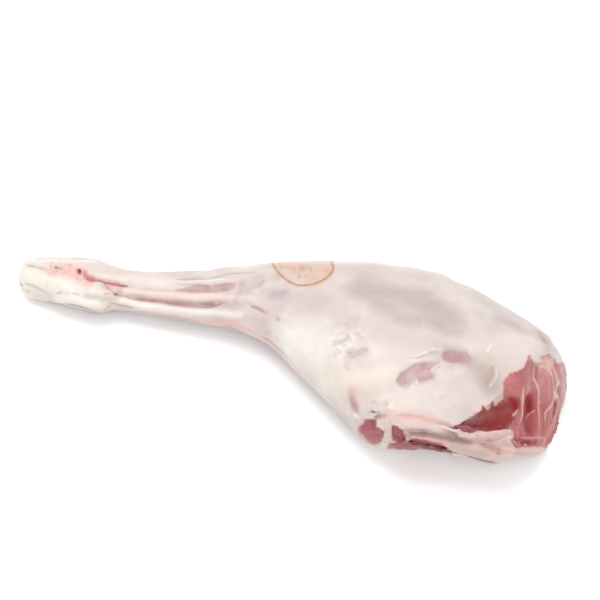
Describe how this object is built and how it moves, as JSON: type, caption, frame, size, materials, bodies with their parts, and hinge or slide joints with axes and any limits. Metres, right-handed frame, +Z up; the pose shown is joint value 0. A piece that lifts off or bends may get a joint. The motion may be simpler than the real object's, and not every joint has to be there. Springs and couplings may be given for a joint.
{
  "type": "leg of lamb",
  "caption": "Raw bone-in leg of lamb lying on its side, with a bare hock at the thin end, a red cut face at the rump and the split pelvic bone along one side.",
  "frame": {"origin": "on the surface that the leg lies on, under the middle of its box", "axes": "+X from the hock towards the rump, +Z up through the inner side of the thigh, -Y towards the side of the split pelvic bone"},
  "size_m": [0.4172, 0.191, 0.0833],
  "materials": {
    "meat": "moist fell and fat over pink and red muscle",
    "bone": "moist ivory bone and gristle",
    "sawn_bone": "sawn pink bone with pale fat along it"
  },
  "bodies": {
    "root": {"leg": "meat", "hock_bone": "bone", "aitch_bone": "sawn_bone"}
  },
  "joints": []
}
